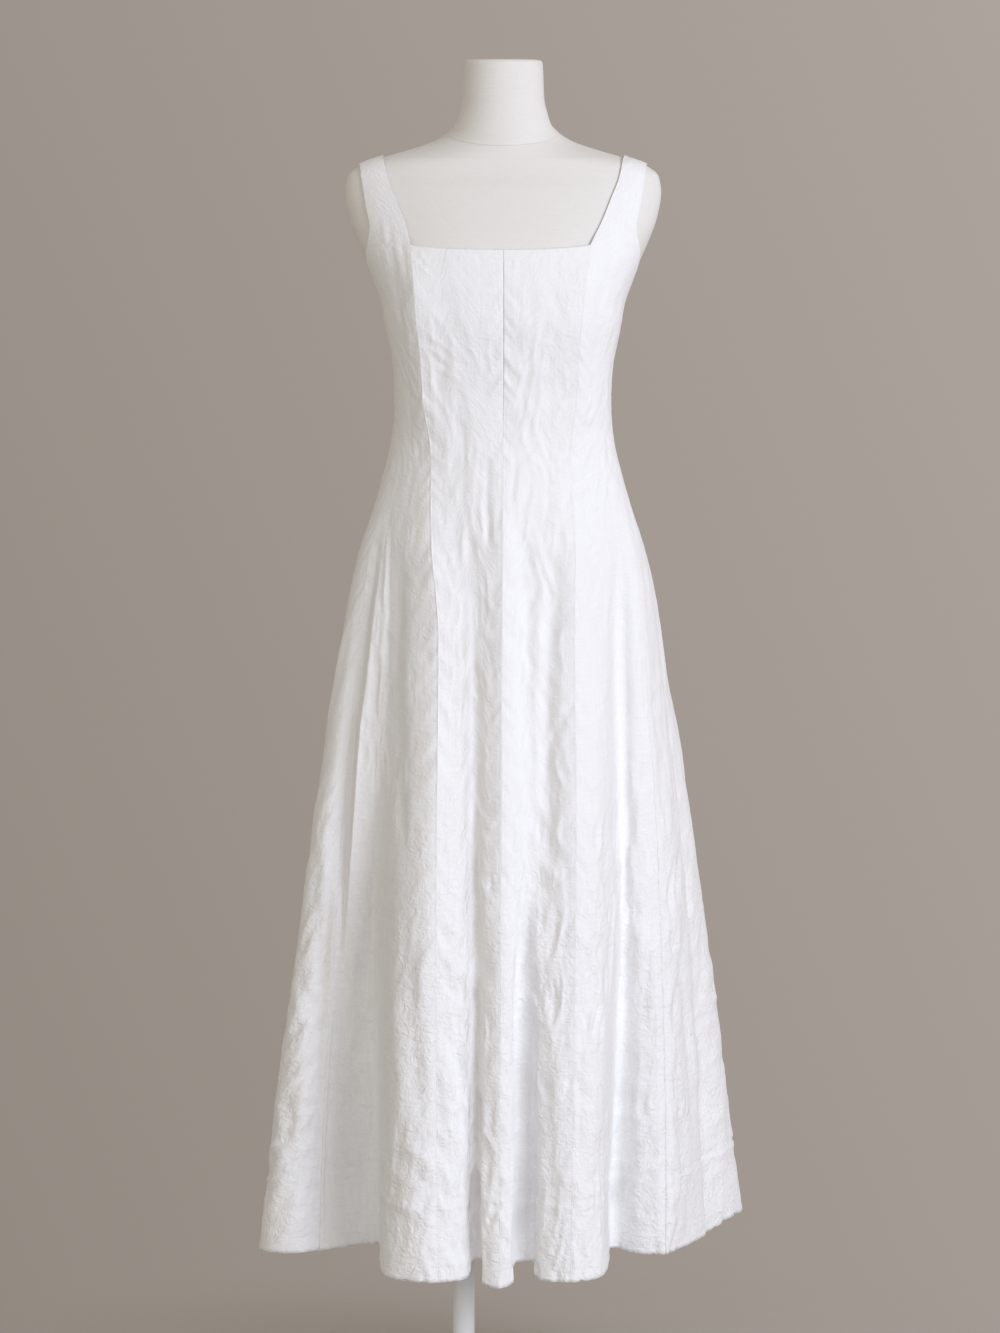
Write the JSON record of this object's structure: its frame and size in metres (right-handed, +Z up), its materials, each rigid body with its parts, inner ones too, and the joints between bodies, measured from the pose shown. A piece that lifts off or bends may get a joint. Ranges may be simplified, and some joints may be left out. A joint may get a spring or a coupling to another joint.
{
  "type": "sleeveless sundress on a dress form and stand",
  "caption": "Long flared linen sundress with wide straps and a square neckline, hung in soft folds on a limbless dress form with a round-based stand.",
  "frame": {"origin": "middle of the base's underside, on the floor", "axes": "+Z up, -Y the way the dress faces, +X to the wearer's left"},
  "size_m": [0.5765, 0.5109, 1.6084],
  "materials": {
    "linen": "matte plain-weave linen, washed and softly crinkled",
    "form_cover": "matte tightly woven cover, stretched smooth",
    "stand_paint": "satin"
  },
  "bodies": {
    "root": {"centre_front_left": "linen", "centre_front_right": "linen", "side_front_left": "linen", "side_front_right": "linen", "side_back_left": "linen", "side_back_right": "linen", "centre_back_left": "linen", "centre_back_right": "linen", "form_torso": "form_cover", "form_neck": "form_cover", "form_pole": "stand_paint", "form_base": "stand_paint"}
  },
  "joints": []
}
